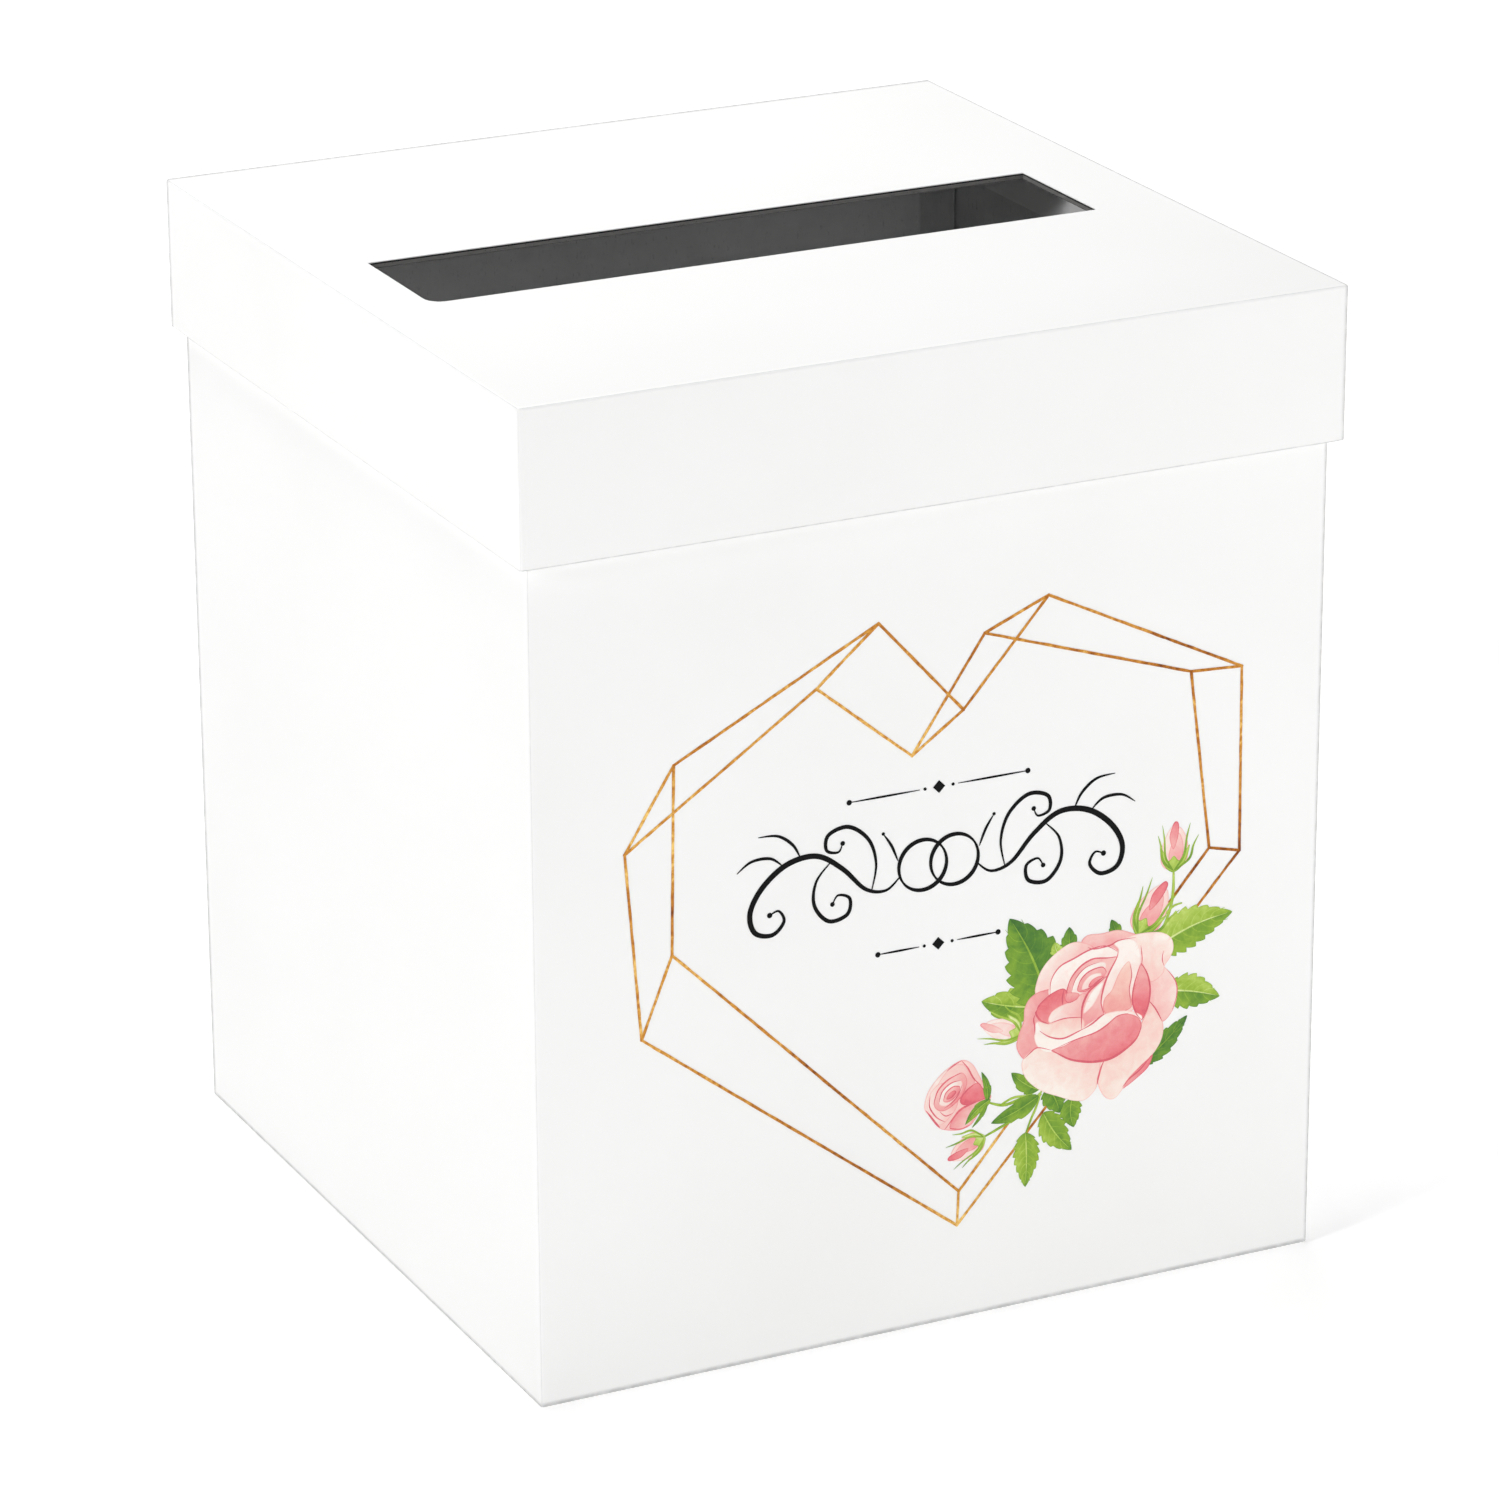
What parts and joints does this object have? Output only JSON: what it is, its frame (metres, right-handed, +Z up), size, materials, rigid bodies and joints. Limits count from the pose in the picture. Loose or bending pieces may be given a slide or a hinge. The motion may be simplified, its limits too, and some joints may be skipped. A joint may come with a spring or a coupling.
{
  "type": "wedding card box",
  "caption": "Square rigid card box with a lift-off lid, a long card slot in its top, and a foil heart with watercolour roses printed on its front.",
  "frame": {"origin": "middle of the box's underside", "axes": "+Z up, the printed front looks along -Y, +X to the right seen from the front"},
  "size_m": [0.254, 0.254, 0.2935],
  "materials": {
    "white_wrap": "smooth satin coated paper",
    "greyboard": "raw greyboard",
    "kraft_stay": "uncoated kraft paper",
    "grey_lining": "uncoated pale grey paper",
    "gold_foil": "hot-stamped foil, brushed and slightly uneven",
    "rose_ink": "watercolour print",
    "leaf_ink": "watercolour print",
    "stem_ink": "watercolour print",
    "black_ink": "matt black print"
  },
  "bodies": {
    "base": {"base_bottom_board": "greyboard", "base_front_board": "greyboard", "base_back_board": "greyboard", "base_left_board": "greyboard", "base_right_board": "greyboard", "base_stay_front_left": "kraft_stay", "base_stay_front_right": "kraft_stay", "base_stay_back_right": "kraft_stay", "base_stay_back_left": "kraft_stay", "base_wall_lining": "grey_lining", "base_floor_lining": "grey_lining", "base_wrap": "white_wrap", "base_bottom_sheet": "white_wrap", "foil_heart": "gold_foil", "large_rose": "rose_ink", "small_rose": "rose_ink", "rose_buds": "rose_ink", "leaves": "leaf_ink", "stems": "stem_ink", "pen_flourish": "black_ink"},
    "lid": {"lid_top_board": "greyboard", "lid_front_board": "greyboard", "lid_back_board": "greyboard", "lid_left_board": "greyboard", "lid_right_board": "greyboard", "lid_stay_front_left": "kraft_stay", "lid_stay_front_right": "kraft_stay", "lid_stay_back_right": "kraft_stay", "lid_stay_back_left": "kraft_stay", "lid_lining": "grey_lining", "lid_wrap": "white_wrap"}
  },
  "joints": [
    {"name": "lid_lift", "type": "slide", "parent": "base", "child": "lid", "axis": [0, 0, 1], "range_m": [0, 0.12]}
  ]
}
